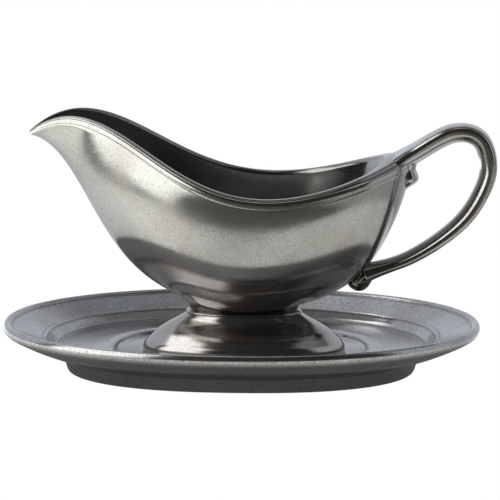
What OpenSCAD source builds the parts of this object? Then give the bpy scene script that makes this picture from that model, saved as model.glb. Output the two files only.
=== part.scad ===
// Gravy boat on its oval tray, in glazed metallic stoneware.
// Lengths in millimetres. X runs along the boat with the spout at -X and the
// handle at +X, Z is up, and the tray stands on Z = 0.

/* [Tray] */

// Length of the tray over its lip
tray_len = 242.6; // [225:0.2:260]
// Width of the tray as a share of its length
tray_ratio = 0.71; // [0.62:0.01:0.85]
// Height of the crest of the tray's lip
tray_h = 23.6; // [22:0.2:28]
// Height of the well floor that the foot stands on
well_z = 8.3; // [6.5:0.1:10]
// Half length of the tray's own foot ring
ring_r = 89.6; // [80:0.2:96]

/* [Bowl] */

// Height of the waist, where the bowl ends and the foot starts
neck_z = 30; // [29:0.5:34]
// Half length and half breadth of the waist
neck = [27.4, 13]; // [11:0.1:30]
// Half length of the rim's main oval
rim_a = 75.5; // [72:0.5:79]
// Half breadth of the rim's main oval
rim_b = 39.4; // [34:0.1:46]
// How far the spout runs out past the main oval
spout_out = 34.5; // [20:0.5:45]
// Rise of the rim to the spout above the middle of the boat
spout_rise = 72.3; // [50:0.1:85]
// Rise of the rim to the stern above the middle of the boat
stern_rise = 30; // [27:0.5:33]
// Drop of the rim over the last of the spout
spout_drop = 31.5; // [20:0.5:40]
// Base height of the rim, before the two rises are added
rim_z = 80; // [78:0.5:82]
// Thickness of the bowl's wall
wall = 3.4; // [2.6:0.1:4.2]
// Thickness of the bowl's floor above the waist
floor_t = 3; // [2:0.1:6]
// How far the rim spreads into a ledge at the stern, under the handle's root
ledge = 4.4; // [2:0.1:6]

/* [Foot] */

// Spread of the foot past the waist at its standing ring, towards the ends
foot_ends = 24; // [19:0.5:28]
// Spread of the foot past the waist at its standing ring, towards the sides
foot_sides = 15.6; // [13:0.1:20]

/* [Handle] */

// Thickness of the handle where it leaves the rim
handle_t = 9.4; // [7:0.1:10]
// Thickness of the handle on its way to the belly
handle_end_t = 6; // [4.6:0.1:7]
// Width of the handle's strap over the loop
handle_w = 15; // [12:0.5:17]
// Width of the handle's strap where it spreads into the stern rim
handle_root_w = 30; // [20:1:31]

/* [Hidden] */

glaze = [0.36, 0.34, 0.33];
glaze_dark = [0.27, 0.25, 0.24];

lip_r = tray_len / 2;
boat_shift = 1.4; // the boat stands a little towards the handle's end of the tray
loop_out = 52.3;  // the handle's loop reaches this far past the rim's main oval
// The whole object is centred along X between the tray's lip and the loop.
centre_x = (lip_r - boat_shift - rim_a - loop_out) / 2;
tray_at = [centre_x, 0, 0];
boat_at = [centre_x + boat_shift, 0, 0];
stern_at = [boat_at[0] + rim_a, 0, rim_z + stern_rise]; // where the handle springs

// ---- Curves ----

function mix(a, b, t) = a + (b - a) * t;
function unit(t) = max(0, min(1, t));

// A point on the Bezier curve of the given control points, at t from 0 to 1.
function bezier(c, t) = len(c) == 1 ? c[0]
    : bezier([for (i = [0 : len(c) - 2]) mix(c[i], c[i + 1], t)], t);

// A point on the smooth curve through p, at t from 0 to len(p) - 1.
function through(p, t) =
    let (n = len(p), i = max(0, min(floor(t), n - 2)), u = t - i,
         a = i > 0 ? p[i - 1] : 2 * p[0] - p[1], b = p[i], c = p[i + 1],
         d = i < n - 2 ? p[i + 2] : 2 * p[n - 1] - p[n - 2])
    (2 * b + (c - a) * u + (2 * a - 5 * b + 4 * c - d) * pow(u, 2)
     + (3 * b - a - 3 * c + d) * pow(u, 3)) / 2;

// ---- Solids from a stack of closed rings, with a centre point in each end ----

function middle(ring) = [for (p = ring) 1] * ring / len(ring);

module skin(rings) {
    n = len(rings[0]);
    m = len(rings);
    points = concat([for (r = rings) each r], [middle(rings[0]), middle(rings[m - 1])]);
    sides = [for (j = [0 : m - 2], i = [0 : n - 1])
        let (k = (i + 1) % n, a = j * n + i, b = j * n + k, c = a + n, d = b + n)
        each [[a, c, b], [b, c, d]]];
    first = [for (i = [0 : n - 1]) [m * n, i, (i + 1) % n]];
    last = [for (i = [0 : n - 1]) [m * n + 1, (m - 1) * n + (i + 1) % n, (m - 1) * n + i]];
    polyhedron(points, concat(sides, first, last), convexity = 6);
}

// ---- Bowl ----
// Angle a runs from the stern (0) round to the spout (180). Each feature of the rim
// is switched on by a power of spoutward(a); a high power keeps it near the end.

bowl_sides = 72;
hull_levels = 18;

rim_shift = 2;      // the main oval's own shift towards the stern
reach_power = 9;    // the spout runs out
pinch = 0.37;       // the spout narrows by this share
pinch_power = 5.5;
stern_full = 0.2;   // the stern widens by this share
rise_power = 3.2;   // the rim climbs to the spout
stern_power = 2.1;  // and to the stern
drop_power = 20;    // and bows down over the tip
tip_thin = 0.65;    // the rim thins by this share at the tip
tip_power = 16;
ledge_power = 8;
ledge_from = 1.1;   // the ledge starts this far below the crest
ledge_run = 1.6;    // and is at its widest this much lower
web = 4.4;          // the rim thickens inwards by this much where the handle springs
web_from = 0.2;     // beginning this far inside the crest
web_run = 1.4;
swell = 0.9;        // the hull swells by this much to meet the collar at the stern
swell_power = 1.5;
swell_from = 2.3;   // beginning this far below the crest
swell_run = 4;

function spoutward(a) = (1 - cos(a)) / 2;

function rim_plan(a) =
    let (s = spoutward(a))
    [rim_shift + rim_a * cos(a) - spout_out * pow(s, reach_power),
     rim_b * sin(a) * (1 - pinch * pow(s, pinch_power) + stern_full * (1 - s))];

function rim_height(a) =
    let (s = spoutward(a))
    rim_z + spout_rise * pow(s, rise_power) + stern_rise * pow(1 - s, stern_power)
    - spout_drop * pow(s, drop_power);

// A point beside the rim's crest: off to the outside of it and dz above it.
function rim_point(a, off, dz) =
    let (p = rim_plan(a), d = rim_plan(a + 0.1) - rim_plan(a - 0.1), s = spoutward(a),
         thin = 1 - tip_thin * pow(s, tip_power),
         spread = off > 0 ? ledge * unit((-dz - ledge_from) / ledge_run)
             : -web * unit((-off - web_from) / web_run),
         full = off > 0 ? swell * unit((-dz - swell_from) / swell_run) : 0,
         o = (off * thin + spread * pow(1 - s, ledge_power) + full * pow(1 - s, swell_power)) / norm(d))
    [p[0] + o * d[1], p[1] - o * d[0], rim_height(a) + dz * thin];

// Profiles of the hull from the waist (0, 0) out to the rim (1, 1): up the
// stem under the spout, up the side, and up the stern under the handle.
spout_profile = [[0, 0], [0, 0.16], [0.62, 0.02], [0.58, 0.92], [1, 1]];
side_profile = [[0, 0], [0.02, 0], [0.93, -0.07], [0.78, 0.38], [0.985, 0.8], [1, 1]];
stern_profile = [[0, 0], [0.05, 0.24], [0.56, -0.17], [0.94, 0.7], [1, 1]];
// Powers that fade the two end profiles into the side's, at the waist and what
// they gain up to the rim: the ends reach further round near the waist.
spout_fade = [2.6, 11];
stern_fade = [2.2, 4];

// A point on the hull at height share v, between the waist oval and the line
// that lies off outside the rim's crest and dz above it.
function hull_point(a, v, waist, waist_z, off, dz) =
    let (s = spoutward(a),
         to_spout = pow(s, spout_fade[0] + spout_fade[1] * v * v),
         to_stern = pow(1 - s, stern_fade[0] + stern_fade[1] * v * v),
         q = to_spout * bezier(spout_profile, v) + to_stern * bezier(stern_profile, v)
             + (1 - to_spout - to_stern) * bezier(side_profile, v),
         n = [waist[0] * cos(a), waist[1] * sin(a)], r = rim_point(a, off, dz),
         xy = mix(n, [r[0], r[1]], q[0]))
    [xy[0], xy[1], mix(waist_z, r[2], q[1])];

// The rim's moulding from the top of the hull over the crest (0, 0): a soft
// collar, then two fine grooves with a thread between them.
hull_top = [1.6, -6.4];
rim_mould = [[1.72, -5.4], [2.02, -4.2], [2.15, -2.9], [2.1, -2.3], [1.85, -1.85], [2.05, -1.35],
    [1.95, -0.95], [1.55, -0.65], [1.4, -0.25], [0.9, -0.03], [0, 0], [-0.7, -0.3]];
well_top = [hull_top[0] - wall, -1.6];

function hull_ring(v, waist, waist_z, top) =
    [for (i = [0 : bowl_sides - 1])
        hull_point(360 * i / bowl_sides, v, waist, waist_z, top[0], top[1])];

module bowl() {
    color(glaze)
    translate(boat_at)
    skin(concat(
        [for (j = [0 : hull_levels]) hull_ring(j / hull_levels, neck, neck_z, hull_top)],
        [for (m = rim_mould) [for (i = [0 : bowl_sides - 1])
            rim_point(360 * i / bowl_sides, m[0], m[1])]],
        [for (j = [hull_levels : -1 : 2])
            hull_ring(j / hull_levels, neck - [wall, wall], neck_z + floor_t, well_top)]
    ));
}

// ---- Foot ----

foot_steps = 64;

// Outline of the foot as [share of the end spread, share of the side spread,
// height]: the hollow underneath from its ceiling down, the standing ring, then
// the shoulder up to the waist.
foot_outline = [[-0.292, -0.449, 24], [0, -0.064, 23], [0.333, 0.192, 19], [0.583, 0.449, 14.5],
    [0.708, 0.609, 11], [0.825, 0.763, well_z], [1, 1, well_z], [1, 1, 10.8],
    [0.975, 0.987, 12.4], [0.929, 0.955, 13.9], [0.871, 0.885, 15.3], [0.792, 0.782, 17.2],
    [0.692, 0.635, 19.4], [0.567, 0.449, 21.4], [0.433, 0.269, 23.3], [0.292, 0.173, 25.1],
    [0.175, 0.135, 26.7], [0.071, 0.109, 28.2], [0.088, 0.135, 28.7], [0.058, 0.09, 29.4],
    [0, 0, neck_z]];

module pedestal_foot() {
    color(glaze)
    translate(boat_at)
    skin([for (k = [len(foot_outline) - 1 : -1 : 0])
        let (p = foot_outline[k], rx = neck[0] + foot_ends * p[0], ry = neck[1] + foot_sides * p[1])
        [for (i = [0 : foot_steps - 1])
            [rx * cos(360 * i / foot_steps), ry * sin(360 * i / foot_steps), p[2]]]]);
}

// ---- Tray ----

tray_steps = 84;

// Outline of the tray as [half length, height], round from the hollow under the
// well, down the foot ring, out under the flange to the lip and back to the well.
function flange(t) = mix(ring_r, lip_r, t);
tray_outline = [[ring_r - 7, 4], [ring_r - 5.4, 0], [ring_r - 2, 0], [ring_r - 1.1, 0.8], [ring_r - 0.4, 3],
    [ring_r + 0.5, 5.8], [flange(0.09), 7.7], [flange(0.26), 9.4], [flange(0.49), 11.6],
    [flange(0.69), 14], [lip_r - 4.4, tray_h - 7.2], [lip_r - 1.7, tray_h - 5.6],
    [lip_r - 0.45, tray_h - 4.2], [lip_r, tray_h - 2.7], [lip_r - 0.25, tray_h - 1.5],
    [lip_r - 1, tray_h - 0.4], [lip_r - 2.1, tray_h], [lip_r - 3.2, tray_h - 0.3],
    [lip_r - 4.2, tray_h - 1], [lip_r - 5.2, tray_h - 2], [flange(0.58), 18.4],
    [flange(0.375), 15.8], [flange(0.34), 16.3], [flange(0.3), 15.7], [flange(0.25), 14],
    [flange(0.19), 12], [flange(0.11), 11.2], [66, 11], [63.5, well_z + 0.7], [61.5, well_z]];

// The plan is an ellipse (power 2) made squarer: most at the foot ring and the
// well, least at the lip.
blunt_ring = 2.35;
blunt_lip = 2.1;
blunt_run = 25; // the plan eases from one to the other over this much radius

function signed_pow(x, n) = sign(x) * pow(abs(x), n);

function tray_ring(r, z) =
    let (n = 2 / mix(blunt_ring, blunt_lip, unit((r - ring_r) / blunt_run)))
    [for (i = [0 : tray_steps - 1])
        let (a = 360 * i / tray_steps)
        [r * signed_pow(cos(a), n), tray_ratio * r * signed_pow(sin(a), n), z]];

module tray() {
    color(glaze_dark)
    translate(tray_at)
    skin([for (p = tray_outline) tray_ring(p[0], p[1])]);
}

// ---- Handle ----

handle_stations = 56;

// The handle's centre line from where it springs at the stern, over the loop
// and down to the belly.
handle_path = [[3.1, -4.4], [9.8, -0.1], [29.5, 10.7], [43.4, 7.9], [47.8, -7.4], [40.9, -25.1],
    [29.1, -38.7], [8.9, -52.2], [-14, -60.6]];

// Width and thickness of the strap at share t of its way from rim to belly.
// root(t) is 1 at the rim and fades out over the first part of the strap;
// flare(t) grows over the last of it, where the strap runs into the belly.
function root(t) = pow(unit(1 - t / 0.3), 1.6);
function flare(t) = 3.5 * pow(unit((t - 0.9) / 0.1), 2);
function strap_w(t) = handle_w - 3 * t + (handle_root_w - handle_w) * root(t) + flare(t);
function strap_t(t) = mix(handle_t, handle_end_t, pow(t, 2.5)) + flare(t);

// The root bends round with the rim: how far its edges fall back and down, for
// each square millimetre of distance from the middle.
root_bow = [0.0169, 0.007];
function bow(t) = pow(unit(1 - t / 0.16), 1.3);

// Half of the handle's section as shares of its width and thickness: the flat
// crown, a fine groove beside it, and a full side that rounds in below. The
// crown reaches further out where flat nears 1.
function handle_half(flat) =
    [[0, 0.5], [0.2, 0.498], [0.34, 0.482 + 0.008 * flat], [0.43, 0.445 + 0.02 * flat],
     [0.437, 0.4 + 0.02 * flat], [0.478, 0.33], [0.5, 0.21], [0.497, 0.07], [0.465, -0.08],
     [0.37, -0.26], [0.2, -0.43], [0, -0.5]];

function handle_section(w, t, flat) =
    let (h = handle_half(flat), n = len(h))
    concat([for (p = h) [p[0] * w, p[1] * t]],
           [for (i = [n - 2 : -1 : 1]) [-h[i][0] * w, h[i][1] * t]]);

function handle_ring(k) =
    let (share = k / handle_stations, span = len(handle_path) - 1, u = share * span,
         c = through(handle_path, u),
         d = through(handle_path, u + 0.01) - through(handle_path, u - 0.01),
         out = [-d[1], d[0]] / norm(d))
    [for (p = handle_section(strap_w(share), strap_t(share), root(share)))
        let (b = root_bow * bow(share) * p[0] * p[0])
        [c[0] + out[0] * p[1] - b[0], p[0], c[1] + out[1] * p[1] - b[1]]];

module handle() {
    color(glaze)
    translate(stern_at)
    skin([for (k = [handle_stations : -1 : 0]) handle_ring(k)]);
}

// ---- Spurs: the small buds under the two ends of the handle ----

bud_sides = 20;

// Rings of a bud from its root down, from the stern: [height, back, front, half width].
module bud(levels) {
    skin([for (l = levels)
        [for (i = [0 : bud_sides - 1])
            [mix(l[1], l[2], (1 + cos(360 * i / bud_sides)) / 2),
             l[3] * sin(360 * i / bud_sides), l[0]]]]);
}

module upper_spur() {
    color(glaze)
    translate(stern_at)
    bud([[-3.5, 4.8, 12.1, 8], [-5.2, 4.6, 11.7, 7.6], [-7, 4.5, 11.4, 7.2], [-9.2, 4.4, 12.1, 7.4],
         [-11.4, 4.2, 12.8, 7.6], [-13.4, 3.9, 12.1, 7], [-15.1, 3.5, 10, 6], [-16.8, 3.2, 7.5, 4.6],
         [-18.6, 2.9, 5.7, 3.4]]);
}

module lower_spur() {
    color(glaze)
    translate(stern_at)
    bud([[-57.5, -18.5, -9.5, 4.5], [-59.5, -19.5, -8, 5.6], [-61.5, -21, -8.3, 6.2],
         [-63.7, -22.5, -9.9, 6.2], [-66, -22.9, -11.1, 6], [-68, -21.9, -12.5, 5],
         [-69.4, -19.9, -14.1, 3.6], [-70.1, -18.3, -15.7, 1.6]]);
}

tray();
bowl();
pedestal_foot();
handle();
upper_spur();
lower_spur();
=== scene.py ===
import math

import bmesh
import bpy
import numpy as np
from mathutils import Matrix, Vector


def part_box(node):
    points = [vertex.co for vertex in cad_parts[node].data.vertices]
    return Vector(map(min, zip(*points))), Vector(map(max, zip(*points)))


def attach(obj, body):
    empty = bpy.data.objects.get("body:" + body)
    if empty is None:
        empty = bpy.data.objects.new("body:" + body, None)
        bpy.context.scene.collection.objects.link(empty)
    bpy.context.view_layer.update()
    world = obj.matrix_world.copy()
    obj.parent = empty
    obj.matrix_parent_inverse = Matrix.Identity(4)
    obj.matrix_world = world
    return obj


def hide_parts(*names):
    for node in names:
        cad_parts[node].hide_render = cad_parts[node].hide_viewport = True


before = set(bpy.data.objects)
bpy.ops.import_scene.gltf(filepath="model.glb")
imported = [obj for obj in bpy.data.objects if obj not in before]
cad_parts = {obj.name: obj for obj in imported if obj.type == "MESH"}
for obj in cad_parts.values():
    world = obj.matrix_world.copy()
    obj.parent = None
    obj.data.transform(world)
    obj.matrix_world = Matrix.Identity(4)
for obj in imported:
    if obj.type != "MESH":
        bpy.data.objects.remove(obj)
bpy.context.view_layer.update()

MM = 0.001
tray_low, tray_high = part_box("tray")
CENTRE_X = (tray_low.x + tray_high.x) / 2      # the tray's middle, in metres
BASE_Z = tray_low.z

# ---------------------------------------------------------------- shape, in millimetres
LEVELS, MOULD_STEPS, FLOOR_STEPS = 72, 96, 14    # rings up the hull, over the rim and across the floor
TRAY_LEN, TRAY_RATIO, TRAY_H, WELL_Z, RING_R = 242.6, 0.71, 23.6, 8.3, 89.6
BOAT_X = 1.4          # the boat stands this far from the tray's middle
NECK, NECK_Z = np.array([27.4, 13.0]), 30.0
WALL, FLOOR_T = 3.4, 3.0
HANDLE_T, HANDLE_END_T, HANDLE_W, HANDLE_ROOT_W = 9.4, 6.0, 15.0, 30.0


def bezier(control, t):
    """Points of a Bezier curve at each t."""
    c = [np.multiply.outer(np.ones_like(t), np.array(p, float)) for p in control]
    while len(c) > 1:
        c = [a + (b - a) * t[..., None] for a, b in zip(c, c[1:])]
    return c[0]


def through(points, count):
    """count points of the smooth curve that passes through the given ones."""
    p = np.array(points, float)
    q = np.vstack([2 * p[0] - p[1], p, 2 * p[-1] - p[-2]])
    u = np.linspace(0, len(p) - 1, count)
    i = np.minimum(u.astype(int), len(p) - 2)
    f = (u - i)[:, None]
    a, b, c, d = q[i], q[i + 1], q[i + 2], q[i + 3]
    return (2 * b + (c - a) * f + (2 * a - 5 * b + 4 * c - d) * f**2
            + (3 * b - a - 3 * c + d) * f**3) / 2


def spoutward(a):
    """0 at the stern, 1 at the spout."""
    return (1 - np.cos(a)) / 2


RIM_SHIFT, RIM_A, RIM_B = 2, 75.5, 39.4          # the rim's main oval
SPOUT_OUT, PINCH, STERN_FULL = 34.5, 0.37, 0.2   # the spout runs out and narrows, the stern widens
RIM_Z, SPOUT_RISE, STERN_RISE, SPOUT_DROP = 80, 72.3, 30, 31.5
TIP_THIN = 0.65                                  # share by which the rim thins at the spout's tip
LEDGE, WEB, SWELL = 4.4, 4.4, 0.9                # what the stern gains: see rim_point


def rim_plan(a):
    """The rim's crest from above. A high power of s keeps a feature near the spout."""
    s = spoutward(a)
    return np.stack([RIM_SHIFT + RIM_A * np.cos(a) - SPOUT_OUT * s**9,
                     RIM_B * np.sin(a) * (1 - PINCH * s**5.5 + STERN_FULL * (1 - s))], -1)


def rim_height(a):
    """Height of the rim's crest: up to the spout and to the stern, and down over the tip."""
    s = spoutward(a)
    return RIM_Z + SPOUT_RISE * s**3.2 + STERN_RISE * (1 - s) ** 2.1 - SPOUT_DROP * s**20


def unit(t):
    """t, kept between 0 and 1."""
    return min(max(t, 0), 1)


def rim_point(a, off, dz):
    """Points off outside the rim's crest and dz above it; both shrink at the tip of the spout.
    Where the handle springs, the rim spreads outwards into a ledge and inwards into a web,
    and the hull swells below the collar to lie flush with it."""
    s = spoutward(a)
    d = rim_plan(a + 0.002) - rim_plan(a - 0.002)      # along the rim
    thin = 1 - TIP_THIN * s**16
    below = unit((-dz - 2.3) / 4)                      # grows from the outer groove to the hull
    spread = unit((-dz - 1.1) / 1.6) if off > 0 else 0
    inwards = unit((-off - 0.2) / 1.4)
    o = off * thin + (1 - s) ** 8 * (LEDGE * spread - WEB * inwards)
    if off > 0:
        o = o + SWELL * (1 - s) ** 1.5 * below
    o = o / np.linalg.norm(d, axis=-1)
    p = rim_plan(a)
    return np.stack([p[..., 0] + o * d[..., 1], p[..., 1] - o * d[..., 0],
                     rim_height(a) + dz * thin], -1)


SPOUT_PROFILE = [(0, 0), (0, 0.16), (0.62, 0.02), (0.58, 0.92), (1, 1)]
SIDE_PROFILE = [(0, 0), (0.02, 0), (0.93, -0.07), (0.78, 0.38), (0.985, 0.8), (1, 1)]
STERN_PROFILE = [(0, 0), (0.05, 0.24), (0.56, -0.17), (0.94, 0.7), (1, 1)]
HULL_TOP = (1.6, -6.4)                           # off and dz, as rim_point takes them
WELL_TOP = (HULL_TOP[0] - WALL, -1.6)


def hull_point(a, v, waist, waist_z, off, dz):
    """A point of the hull: v runs from the waist to the rim along a mix of the three profiles.
    The spout's and the stern's own profiles reach further round near the waist."""
    s = spoutward(a)
    to_spout, to_stern = s ** (2.6 + 11 * v * v), (1 - s) ** (2.2 + 4 * v * v)
    v = v * np.ones_like(a)
    q = (to_spout[..., None] * bezier(SPOUT_PROFILE, v) + to_stern[..., None] * bezier(STERN_PROFILE, v)
         + (1 - to_spout - to_stern)[..., None] * bezier(SIDE_PROFILE, v))
    r = rim_point(a, off, dz)
    n = np.stack([waist[0] * np.cos(a), waist[1] * np.sin(a)], -1)
    xy = n + (r[..., :2] - n) * q[..., :1]
    return np.concatenate([xy, (waist_z + (r[..., 2] - waist_z) * q[..., 1])[..., None]], -1)


# a soft collar, then two fine grooves with a thread between them, and the crest
OUTER_GROOVE, INNER_GROOVE, CREST = (1.85, -1.85), (1.55, -0.65), (0, 0)
RIM_MOULD = [HULL_TOP, (1.62, -6.0), (1.72, -5.4), (1.88, -4.8), (2.02, -4.2), (2.12, -3.5),
             (2.15, -2.8), (2.1, -2.3), (1.95, -2.0), OUTER_GROOVE, (1.95, -1.65), (2.05, -1.35),
             (2.0, -1.05), (1.8, -0.8), INNER_GROOVE, (1.55, -0.5), (1.4, -0.25), (1.05, -0.06),
             (0.6, 0), CREST, (-0.6, -0.2), (-1.2, -0.8), WELL_TOP]
FLOOR_FROM, DISH = 0.1, 1.2          # where the inside turns into the floor, and the floor's sag


def bowl_rings(around=288):
    """Up the hull, over the rim, down the inside and across the dished floor."""
    a = np.linspace(0, 2 * np.pi, around, endpoint=False)
    rings = [hull_point(a, v, NECK, NECK_Z, *HULL_TOP) for v in np.linspace(0, 1, LEVELS)]
    rings += [rim_point(a, off, dz) for off, dz in through(RIM_MOULD, MOULD_STEPS)[1:]]
    inner = (NECK - WALL, NECK_Z + FLOOR_T, *WELL_TOP)
    rings += [hull_point(a, v, *inner) for v in np.linspace(1, FLOOR_FROM, LEVELS)[1:]]
    last = rings[-1]
    middle = last.mean(0)
    for k in np.linspace(1, 0, FLOOR_STEPS)[1:-1]:
        ring = middle + (last - middle) * k
        ring[:, 2] = middle[2] + (last[:, 2] - middle[2]) * k**2 - DISH * (1 - k**2)
        rings.append(ring)
    return np.array(rings)


# how far the foot spreads beyond the neck, to the ends and to the sides, and the height: the hollow
# underneath, the standing ring, the shoulder, and the fine ring at the waist
FOOT = [(-7, -7, 24), (0, -1, 23), (8, 3, 19), (14, 7, 14.5), (17, 9.5, 11), (19.3, 11.4, 8.6),
        (19.8, 11.9, 8.3), (23.6, 15.2, 8.3), (24, 15.6, 8.7), (24, 15.6, 10.8), (23.4, 15.4, 12.4),
        (22.3, 14.9, 13.9), (20.9, 13.8, 15.3), (19, 12.2, 17.2), (16.6, 9.9, 19.4), (13.6, 7, 21.4),
        (10.4, 4.2, 23.3), (7, 2.7, 25.1), (4.2, 2.1, 26.7), (2.3, 1.8, 27.8), (1.7, 1.7, 28.2),
        (2.1, 2.1, 28.6), (2.0, 2.0, 29.1), (1.4, 1.4, 29.4), (0.9, 0.9, 29.6), (0, 0, 30)]
FOOT_STEPS = 200


def foot_rings(around=256):
    a = np.linspace(0, 2 * np.pi, around, endpoint=False)
    return np.array([np.stack([(NECK[0] + ends) * np.cos(a), (NECK[1] + sides) * np.sin(a),
                               np.full_like(a, z)], -1)
                     for ends, sides, z in through(FOOT, FOOT_STEPS)])


LIP = TRAY_LEN / 2
TRAY_STEPS = 260
# half length and height, from the foot ring out under the flange, over the lip and in to the well
TRAY = [(RING_R - 7, 4), (RING_R - 6, 0.5), (RING_R - 5.4, 0), (RING_R - 2, 0), (RING_R - 1.1, 0.8),
        (RING_R - 0.4, 3), (RING_R + 0.5, 5.8), (92.5, 7.7), (98, 9.4), (105, 11.6), (111.5, 14),
        (LIP - 4.4, 16.4), (LIP - 1.7, 18.0), (LIP - 0.45, 19.4), (LIP, 20.9), (LIP - 0.25, 22.1),
        (LIP - 1, TRAY_H - 0.4), (LIP - 2.1, TRAY_H), (LIP - 3.2, TRAY_H - 0.3),
        (LIP - 4.2, TRAY_H - 1), (LIP - 5.2, TRAY_H - 2), (108, 18.4), (101.5, 15.8), (100.3, 16.3),
        (99, 15.7), (97.5, 14), (95.5, 12), (93, 11.2), (80, 11.05), (66, 11), (63.5, WELL_Z + 0.7),
        (61.5, WELL_Z)]


def oval(r, a):
    """The tray's plan: nearly an ellipse at the lip, squarer towards the foot ring and the well."""
    blunt = 2.35 - 0.25 * unit((r - RING_R) / 25)
    c, s = np.cos(a), np.sin(a)
    return (r * np.sign(c) * np.abs(c) ** (2 / blunt),
            TRAY_RATIO * r * np.sign(s) * np.abs(s) ** (2 / blunt))


def tray_rings(around=320):
    a = np.linspace(0, 2 * np.pi, around, endpoint=False)
    return np.array([np.stack([*oval(r, a), np.full_like(a, z)], -1)
                     for r, z in through(TRAY, TRAY_STEPS)])


# the handle's centre line as x and height, from the stern over the loop and down to the belly
HANDLE_PATH = [(78.6, 105.6), (85.3, 109.9), (105, 120.7), (118.9, 117.9), (123.3, 102.6),
               (116.4, 84.9), (104.6, 71.3), (84.4, 57.8), (61.5, 49.4)]


def handle_section(w, t, flat, count):
    """A strap with a flat crown, a fine groove beside it and a full side that rounds in below."""
    up = 0.02 * flat
    half = [(0, 0.5), (0.2, 0.498), (0.34, 0.482 + 0.008 * flat), (0.42, 0.45 + up), (0.443, 0.425 + up),
            (0.437, 0.4 + up), (0.452, 0.375 + up), (0.478, 0.33), (0.492, 0.28), (0.5, 0.21), (0.5, 0.12),
            (0.49, 0.02), (0.465, -0.08), (0.425, -0.17), (0.37, -0.26), (0.29, -0.35), (0.2, -0.43),
            (0.1, -0.48), (0, -0.5)]
    h = through(half, count) * [w, t]
    return np.vstack([h, (h * [-1, 1])[-2:0:-1]])


ROOT_SHARE, BOW_SHARE, FLARE_SHARE = 0.3, 0.16, 0.1     # of the handle's length
TAPER, FLARE = 3, 3.5
BOW_BACK, BOW_DOWN = 0.0169, 0.007                      # the root bends round with the rim


def handle_rings(stations=260, count=80):
    """flat is 1 where the strap springs from the rim, and flare grows where it runs into the belly."""
    c = through(HANDLE_PATH, stations)
    d = np.gradient(c, axis=0)
    d /= np.linalg.norm(d, axis=1)[:, None]
    rings = []
    for k in range(stations):
        share = k / (stations - 1)
        flat = max(0, 1 - share / ROOT_SHARE) ** 1.6
        flare = FLARE * max(0, (share - (1 - FLARE_SHARE)) / FLARE_SHARE) ** 2
        w = HANDLE_W - TAPER * share + (HANDLE_ROOT_W - HANDLE_W) * flat + flare
        t = HANDLE_T + (HANDLE_END_T - HANDLE_T) * share**2.5 + flare
        s = handle_section(w, t, flat, count)
        bow = max(0, 1 - share / BOW_SHARE) ** 1.3 * s[:, 0] ** 2
        rings.append(np.stack([c[k, 0] - d[k, 1] * s[:, 1] - BOW_BACK * bow, s[:, 0],
                               c[k, 1] + d[k, 0] * s[:, 1] - BOW_DOWN * bow], -1))
    return np.array(rings)


def bud_rings(levels, around=64, count=40):
    """levels lists a bud's rings from its root down: height, back, front and half width."""
    a = np.linspace(0, 2 * np.pi, around, endpoint=False)
    return np.array([np.stack([(b + f) / 2 + (f - b) / 2 * np.cos(a), w * np.sin(a),
                               np.full_like(a, z)], -1)
                     for z, b, f, w in through(levels, count)])


UPPER_SPUR = [(106.5, 80.3, 87.6, 8), (104.8, 80.1, 87.2, 7.6), (103, 80, 86.9, 7.2),
              (100.8, 79.9, 87.6, 7.4), (98.6, 79.7, 88.3, 7.6), (96.6, 79.4, 87.6, 7),
              (94.9, 79, 85.5, 6), (93.2, 78.7, 83, 4.6), (91.4, 78.4, 81.2, 3.4)]
LOWER_SPUR = [(52.5, 57, 66, 4.5), (50.5, 56, 67.5, 5.6), (48.5, 54.5, 67.2, 6.2),
              (46.3, 53, 65.6, 6.2), (44, 52.6, 64.4, 6), (42, 53.6, 63, 5), (40.6, 55.6, 61.4, 3.6),
              (39.9, 57.2, 59.8, 1.6)]


# ---------------------------------------------------------------- meshes

def build(name, rings, body, node, material, painted_shade=None):
    """A closed mesh through the rings, with both ends closed, standing for a CAD node.
    The last argument gives, for each ring, how far painted shade darkens the glaze there."""
    m, n = rings.shape[:2]
    points = np.vstack([rings.reshape(-1, 3), rings[0].mean(0), rings[-1].mean(0)]) * MM
    points[:, 0] += CENTRE_X + (BOAT_X * MM if body == "boat" else 0)
    points[:, 2] += BASE_Z
    i = np.arange(n)
    k = (i + 1) % n
    faces = [q for j in range(m - 1)
             for q in np.stack([j * n + i, j * n + k, (j + 1) * n + k, (j + 1) * n + i], -1).tolist()]
    faces += np.stack([np.full(n, m * n), k, i], -1).tolist()
    faces += np.stack([np.full(n, m * n + 1), (m - 1) * n + i, (m - 1) * n + k], -1).tolist()
    mesh = bpy.data.meshes.new(name)
    mesh.from_pydata(points.tolist(), [], faces)
    bm = bmesh.new()
    bm.from_mesh(mesh)
    bmesh.ops.recalc_face_normals(bm, faces=bm.faces)
    bm.to_mesh(mesh)
    bm.free()
    mesh.shade_smooth()
    painted_shade = np.zeros((m, n)) if painted_shade is None else np.broadcast_to(painted_shade, (m, n))
    layer = mesh.attributes.new("painted_shade", "FLOAT", "POINT")
    layer.data.foreach_set("value", np.append(painted_shade.ravel(), [painted_shade[0].mean(), painted_shade[-1].mean()]).astype("f4"))
    mesh.materials.append(material)
    obj = bpy.data.objects.new(name, mesh)
    bpy.context.scene.collection.objects.link(obj)
    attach(obj, body)
    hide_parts(node)


def marks(profile, count, places, width):
    """1 where a profile passes a place (its last two columns), fading out over width."""
    p = through(profile, count)[:, -2:]
    best = np.min([np.hypot(*(p - place).T) for place in places], axis=0)
    return np.exp(-(best / width) ** 2)


# ---------------------------------------------------------------- node helpers

def feed(tree, socket, v):
    """Link a field to a socket, or set it to a color or a number."""
    if isinstance(v, Field):
        tree.links.new(v.socket, socket)
    else:
        socket.default_value = v + (1.0,) if isinstance(v, tuple) else v


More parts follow.
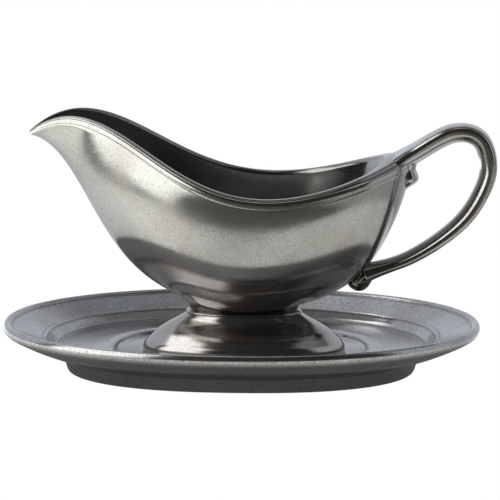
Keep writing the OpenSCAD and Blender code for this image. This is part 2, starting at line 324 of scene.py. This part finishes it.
class Field:
    """A value in a node tree, so that shader formulas read as formulas."""

    def __init__(self, tree, socket):
        self.tree, self.socket = tree, socket

    def calc(self, op, *values):
        node = self.tree.nodes.new("ShaderNodeMath")
        node.operation = op
        for k, v in enumerate((self,) + values):
            feed(self.tree, node.inputs[k], v)
        return Field(self.tree, node.outputs[0])

    def __add__(self, v): return self.calc("ADD", v)
    def __sub__(self, v): return self.calc("SUBTRACT", v)
    def __mul__(self, v): return self.calc("MULTIPLY", v)
    def __truediv__(self, v): return self.calc("DIVIDE", v)
    def power(self, v): return self.calc("POWER", v)
    def over(self, v): return self.calc("MAXIMUM", v)

    def step(self, low, high, to_low=0.0, to_high=1.0):
        """Rises smoothly from to_low at low to to_high at high."""
        node = self.tree.nodes.new("ShaderNodeMapRange")
        node.interpolation_type = "SMOOTHSTEP"
        self.tree.links.new(self.socket, node.inputs["Value"])
        for key, v in (("From Min", low), ("From Max", high), ("To Min", to_low), ("To Max", to_high)):
            node.inputs[key].default_value = v
        return Field(self.tree, node.outputs[0])

    def window(self, low, high, soft):
        """1 between low and high, fading out over soft on either side."""
        return self.step(low - soft, low + soft) * self.step(high - soft, high + soft, 1.0, 0.0)


def xyz(tree, socket):
    node = tree.nodes.new("ShaderNodeSeparateXYZ")
    tree.links.new(socket, node.inputs[0])
    return [Field(tree, s) for s in node.outputs]


def mix_color(tree, factor, a, b):
    node = tree.nodes.new("ShaderNodeMix")
    node.data_type = "RGBA"
    for k, v in ((0, factor), (6, a), (7, b)):     # 6 and 7 are the node's color inputs
        feed(tree, node.inputs[k], v)
    return Field(tree, node.outputs[2])


def noise(tree, coords, scale, detail, roughness):
    node = tree.nodes.new("ShaderNodeTexNoise")
    node.inputs["Scale"].default_value = scale
    node.inputs["Detail"].default_value = detail
    node.inputs["Roughness"].default_value = roughness
    tree.links.new(coords, node.inputs["Vector"])
    return Field(tree, node.outputs["Fac"])


# ---------------------------------------------------------------- the glaze

PAINTED_SHADE_COLOR = (0.032, 0.025, 0.02)                    # the colour of painted shade, at its darkest
DRIFT, WAVES, GRAIN, SPECKS = 45.0, 75.0, 1300.0, 700.0    # scales of the noises, per metre
LINE_SCALE, LINES_END = 125.0, (0.0125, 0.0145)  # the level lines, and the height they fade out at
BUMP = 0.00001


def glaze(name, base, thin, rough, wall_lines, specked):
    """Satin metallic glaze: grey, drifting to a brown cast (thin), with fine grain, dark specks and
    a slow waviness; painted shade darkens it as far as the mesh's attribute says. wall_lines is the
    strength of the level lines low on an outer wall, specked that of the grain and the specks."""
    material = bpy.data.materials.new(name)
    material.use_nodes = True
    tree = material.node_tree
    shader = tree.nodes["Principled BSDF"]
    coords = tree.nodes.new("ShaderNodeTexCoord").outputs["Object"]
    drift = noise(tree, coords, DRIFT, 3.0, 0.55)
    grain = noise(tree, coords, GRAIN, 2.0, 0.6)
    specks = noise(tree, coords, SPECKS, 2.0, 0.5)
    color = mix_color(tree, drift.step(0.3, 0.72), base, thin)
    color = mix_color(tree, grain.step(0.35, 0.7) * (0.7 * specked), color, tuple(0.4 * c for c in thin))
    color = mix_color(tree, specks.step(0.62, 0.74) * specked, color, tuple(0.3 * c for c in thin))
    # painted shade, read from the mesh's attribute
    painted_shade = tree.nodes.new("ShaderNodeAttribute")
    painted_shade.attribute_name = "painted_shade"
    color = mix_color(tree, Field(tree, painted_shade.outputs["Fac"]), color, PAINTED_SHADE_COLOR)
    tree.links.new(color.socket, shader.inputs["Base Color"])
    shader.inputs["Metallic"].default_value = 0.95
    roughness = drift.step(0.3, 0.7, rough * 0.85, rough * 1.2) + (grain - 0.5) * 0.14
    tree.links.new(roughness.socket, shader.inputs["Roughness"])
    wave = tree.nodes.new("ShaderNodeTexWave")
    wave.bands_direction = "Z"
    wave.inputs["Scale"].default_value = LINE_SCALE
    wave.inputs["Distortion"].default_value = 1.2
    wave.inputs["Detail"].default_value = 2.0
    wave.inputs["Detail Scale"].default_value = 0.3
    tree.links.new(coords, wave.inputs["Vector"])
    z = xyz(tree, coords)[2]
    lines = Field(tree, wave.outputs["Fac"]) * z.step(*LINES_END, wall_lines, 0.0)
    slow = noise(tree, coords, WAVES, 2.0, 0.5)
    height = slow * 6.0 + grain * 0.35 + specks * 0.4 + lines
    bump = tree.nodes.new("ShaderNodeBump")
    bump.inputs["Strength"].default_value = 1.0
    bump.inputs["Distance"].default_value = BUMP
    tree.links.new(height.socket, bump.inputs["Height"])
    tree.links.new(bump.outputs["Normal"], shader.inputs["Normal"])
    return material


boat_glaze = glaze("boat_glaze", (0.42, 0.405, 0.382), (0.355, 0.33, 0.302), 0.145, 0.0, 0.4)
tray_glaze = glaze("tray_glaze", (0.46, 0.455, 0.45), (0.38, 0.36, 0.35), 0.17, 2.0, 0.75)

# Painted shade on the bowl, darkening the glaze: low on the hull, in the rim's grooves, past its crest, and
# inside.
low = 0.7 * np.clip(1 - np.linspace(0, 3.5, LEVELS), 0, 1)
mould = marks(RIM_MOULD, MOULD_STEPS, [OUTER_GROOVE, INNER_GROOVE], 0.2)
past_crest = np.linspace(0, 1, MOULD_STEPS) - RIM_MOULD.index(CREST) / (len(RIM_MOULD) - 1)
mould = np.maximum(mould, 0.4 * np.clip(past_crest / 0.05, 0, 1))
inside = 0.94 * np.clip((np.linspace(0, 1, LEVELS) - 0.03) / 0.2, 0, 1)
bottom = np.full(FLOOR_STEPS - 2, 0.9)
bowl_painted_shade = np.concatenate([low, mould[1:], inside[1:], bottom])
build("bowl_glazed", bowl_rings(), "boat", "bowl", boat_glaze, bowl_painted_shade[:, None])

# painted shade in the two fine grooves at the waist
WAIST_GROOVES = [(1.7, 28.2), (0.9, 29.6)]
foot_painted_shade = marks([(ends, z) for ends, _, z in FOOT], FOOT_STEPS, WAIST_GROOVES, 0.35) * 0.6
build("foot_glazed", foot_rings(), "boat", "pedestal_foot", boat_glaze, foot_painted_shade[:, None])

handle = handle_rings()
across = np.abs(np.linspace(0, 2, handle.shape[1], endpoint=False) - 1)    # 1 on the crown, 0 underneath
# painted shade along the fine groove beside the crown
groove = np.exp(-((across - 0.722) / 0.016) ** 2) * 0.85
build("handle_glazed", handle, "boat", "handle", boat_glaze, groove[None])
build("upper_spur_glazed", bud_rings(UPPER_SPUR), "boat", "upper_spur", boat_glaze)
# the lower spur is darkened all over by painted shade
build("lower_spur_glazed", bud_rings(LOWER_SPUR), "boat", "lower_spur", boat_glaze, 0.5)

# painted shade in the tray's inner corners and creases
TRAY_CORNERS = [(LIP - 5, TRAY_H - 1.8), (101.5, 15.8), (98.8, 15.2), (93.5, 11.2), (64, 9.6)]
tray_painted_shade = marks(TRAY, TRAY_STEPS, TRAY_CORNERS, 0.6) * 0.55
build("tray_glazed", tray_rings(), "tray", "tray", tray_glaze, tray_painted_shade[:, None])


# ---------------------------------------------------------------- studio

def oval_sheet(name, half_x, half_y, z):
    """A flat oval, squarer at the front and the back than an ellipse."""
    a = np.linspace(0, 2 * np.pi, 160, endpoint=False)
    xs = half_x * np.cos(a)
    ys = half_y * np.sign(np.sin(a)) * np.abs(np.sin(a)) ** (2 / 3)
    mesh = bpy.data.meshes.new(name)
    mesh.from_pydata([(CENTRE_X + p, q, z) for p, q in zip(xs, ys)], [], [tuple(range(len(a)))])
    obj = bpy.data.objects.new(name, mesh)
    bpy.context.scene.collection.objects.link(obj)
    return obj


def emission(tree, color, strength):
    """Light of the given color and strength, in a material's tree or in the world's."""
    in_world = tree.nodes.get("World Output") is not None
    node = tree.nodes.new("ShaderNodeBackground" if in_world else "ShaderNodeEmission")
    feed(tree, node.inputs["Color"], color)
    feed(tree, node.inputs["Strength"], strength)
    return node.outputs[0]


def camera_ray(tree):
    return tree.nodes.new("ShaderNodeLightPath").outputs["Is Camera Ray"]


def choose(tree, factor, a, b):
    node = tree.nodes.new("ShaderNodeMixShader")
    tree.links.new(factor, node.inputs[0])
    tree.links.new(a, node.inputs[1])
    tree.links.new(b, node.inputs[2])
    return node.outputs[0]


# The ground: white to the camera. Reflections see a table painted on its glow: painted light from the
# left, and painted shade of the tray. Beyond the table's rounded edge lie a dark gap, then painted
# brightness under the soft box at the front left, and a paler floor to the right and behind.
GROUND_X, GROUND_Y = 0.7, 0.6          # half its length and breadth, in metres
TABLE_X, TABLE_Y = 0.25, 0.193         # the same of the table
SHADE_X, SHADE_Y = 0.1213, 0.0861      # and of the tray, whose painted shade spreads beyond it
BELOW = 0.0003                         # keeps the ground just under the tray's foot ring
floor = oval_sheet("floor", GROUND_X, GROUND_Y, BASE_Z - BELOW)
floor_material = bpy.data.materials.new("white_table")
floor_material.use_nodes = True
tree = floor_material.node_tree
tree.nodes.remove(tree.nodes["Principled BSDF"])
x, y, _ = xyz(tree, tree.nodes.new("ShaderNodeTexCoord").outputs["Object"])
x = x - CENTRE_X
# painted shade: darker under the tray and a little beyond it, seen only in reflections
under_tray = ((x / SHADE_X).power(2.0) + (y / SHADE_Y).power(2.0)).power(0.5)
light = ((x.step(-0.2, -0.06, 0.7, 0.0) * y.step(-0.07, 0.03, 1.0, 0.35) + 1.0)
         * under_tray.step(0.85, 1.38, 0.13, 1.0))
edge = (x / TABLE_X).power(2.0) + (y.calc("ABSOLUTE") / TABLE_Y).power(3.0)    # 1 at the table's edge
beyond = (x - y * 0.3).step(-0.19, -0.14, 2.7, 0.13) * edge.step(1.13, 1.22)
beyond = beyond.over(x.step(0.14, 0.24, 0.0, 0.55)).over(y.step(0.1, 0.2, 0.0, 0.6))
light = light * edge.step(0.95, 1.02, 1.0, 0.0) + beyond.over(0.1) * edge.step(0.97, 1.0)
tint = mix_color(tree, y.step(-0.03, 0.06), (0.965, 1.0, 0.975), (0.86, 0.91, 1.0))
mirrored = emission(tree, tint, light)
white = emission(tree, (1.0, 1.0, 1.0), 1.0)
surface = choose(tree, camera_ray(tree), mirrored, white)
tree.links.new(surface, tree.nodes["Material Output"].inputs["Surface"])
floor.data.materials.append(floor_material)

# The room: white to the camera. Reflections see a big soft box on the left, pale walls behind,
# a bright ceiling straight above, and a dark room in front.
world = bpy.data.worlds.new("studio")
bpy.context.scene.world = world
world.use_nodes = True
tree = world.node_tree
tree.nodes.remove(tree.nodes["Background"])
dx, dy, dz = xyz(tree, tree.nodes.new("ShaderNodeTexCoord").outputs["Generated"])
azimuth = dx.calc("ARCTAN2", dy * -1.0) * (180 / math.pi)      # 0 towards the camera, 90 to the right
elevation = dz.calc("ARCSINE") * (180 / math.pi)
left_wall = azimuth.window(-190.0, -92.0, 6.0) * 0.88
right_wall = azimuth.window(60.0, 190.0, 6.0) * elevation.step(32.0, 50.0, 0.8, 0.42)
walls = left_wall.over(right_wall) * elevation.step(68.0, 82.0, 1.0, 0.5)
box_left = elevation.step(38.0, 50.0, -82.0, -108.0) + elevation.step(-14.0, -4.0, -14.0, 0.0)
box_right = elevation.step(-20.0, 0.0, -46.0, -32.0) + elevation.step(48.0, 66.0, 0.0, -25.0)
KEY_LIGHT = 2.8                        # how bright the soft box is
key = ((azimuth - box_left).step(-4.0, 4.0) * (azimuth - box_right).step(-4.0, 4.0, 1.0, 0.0)
       * elevation.step(61.0, 67.0, 1.0, 0.0))
low_front = elevation.step(-12.0, -2.0, 0.15, 0.03)
ceiling = elevation.step(70.0, 84.0, 0.0, 0.9)
light = walls.over(key * KEY_LIGHT).over(low_front).over(ceiling)
tint = mix_color(tree, key, mix_color(tree, walls.step(0.1, 0.3), (1.0, 0.93, 0.86), (0.85, 0.91, 1.0)),
                 (0.96, 0.98, 1.0))
room = emission(tree, tint, light)
white = emission(tree, (1.0, 1.0, 1.0), 1.0)
surface = choose(tree, camera_ray(tree), room, white)
tree.links.new(surface, tree.nodes["World Output"].inputs["Surface"])

# ---------------------------------------------------------------- camera and picture

AZIMUTH, ELEVATION = math.radians(3.3), math.radians(10.8)
DISTANCE, FOCAL = 2.0, 284.0
AIM_X, AIM_Z = 0.0045, 0.06025         # the picture's middle, from the foot of the tray's middle
target = Vector((CENTRE_X + AIM_X, 0.0, BASE_Z + AIM_Z))
away = Vector((math.sin(AZIMUTH) * math.cos(ELEVATION), -math.cos(AZIMUTH) * math.cos(ELEVATION),
               math.sin(ELEVATION)))
camera = bpy.data.objects.new("camera", bpy.data.cameras.new("camera"))
bpy.context.scene.collection.objects.link(camera)
camera.data.sensor_width, camera.data.lens = 36.0, FOCAL
camera.data.clip_start, camera.data.clip_end = 0.1, 50.0
camera.location = target + away * DISTANCE
camera.rotation_mode = "QUATERNION"
camera.rotation_quaternion = (-away).to_track_quat("-Z", "Y")
bpy.context.scene.camera = camera
bpy.context.scene.view_settings.view_transform = "Standard"
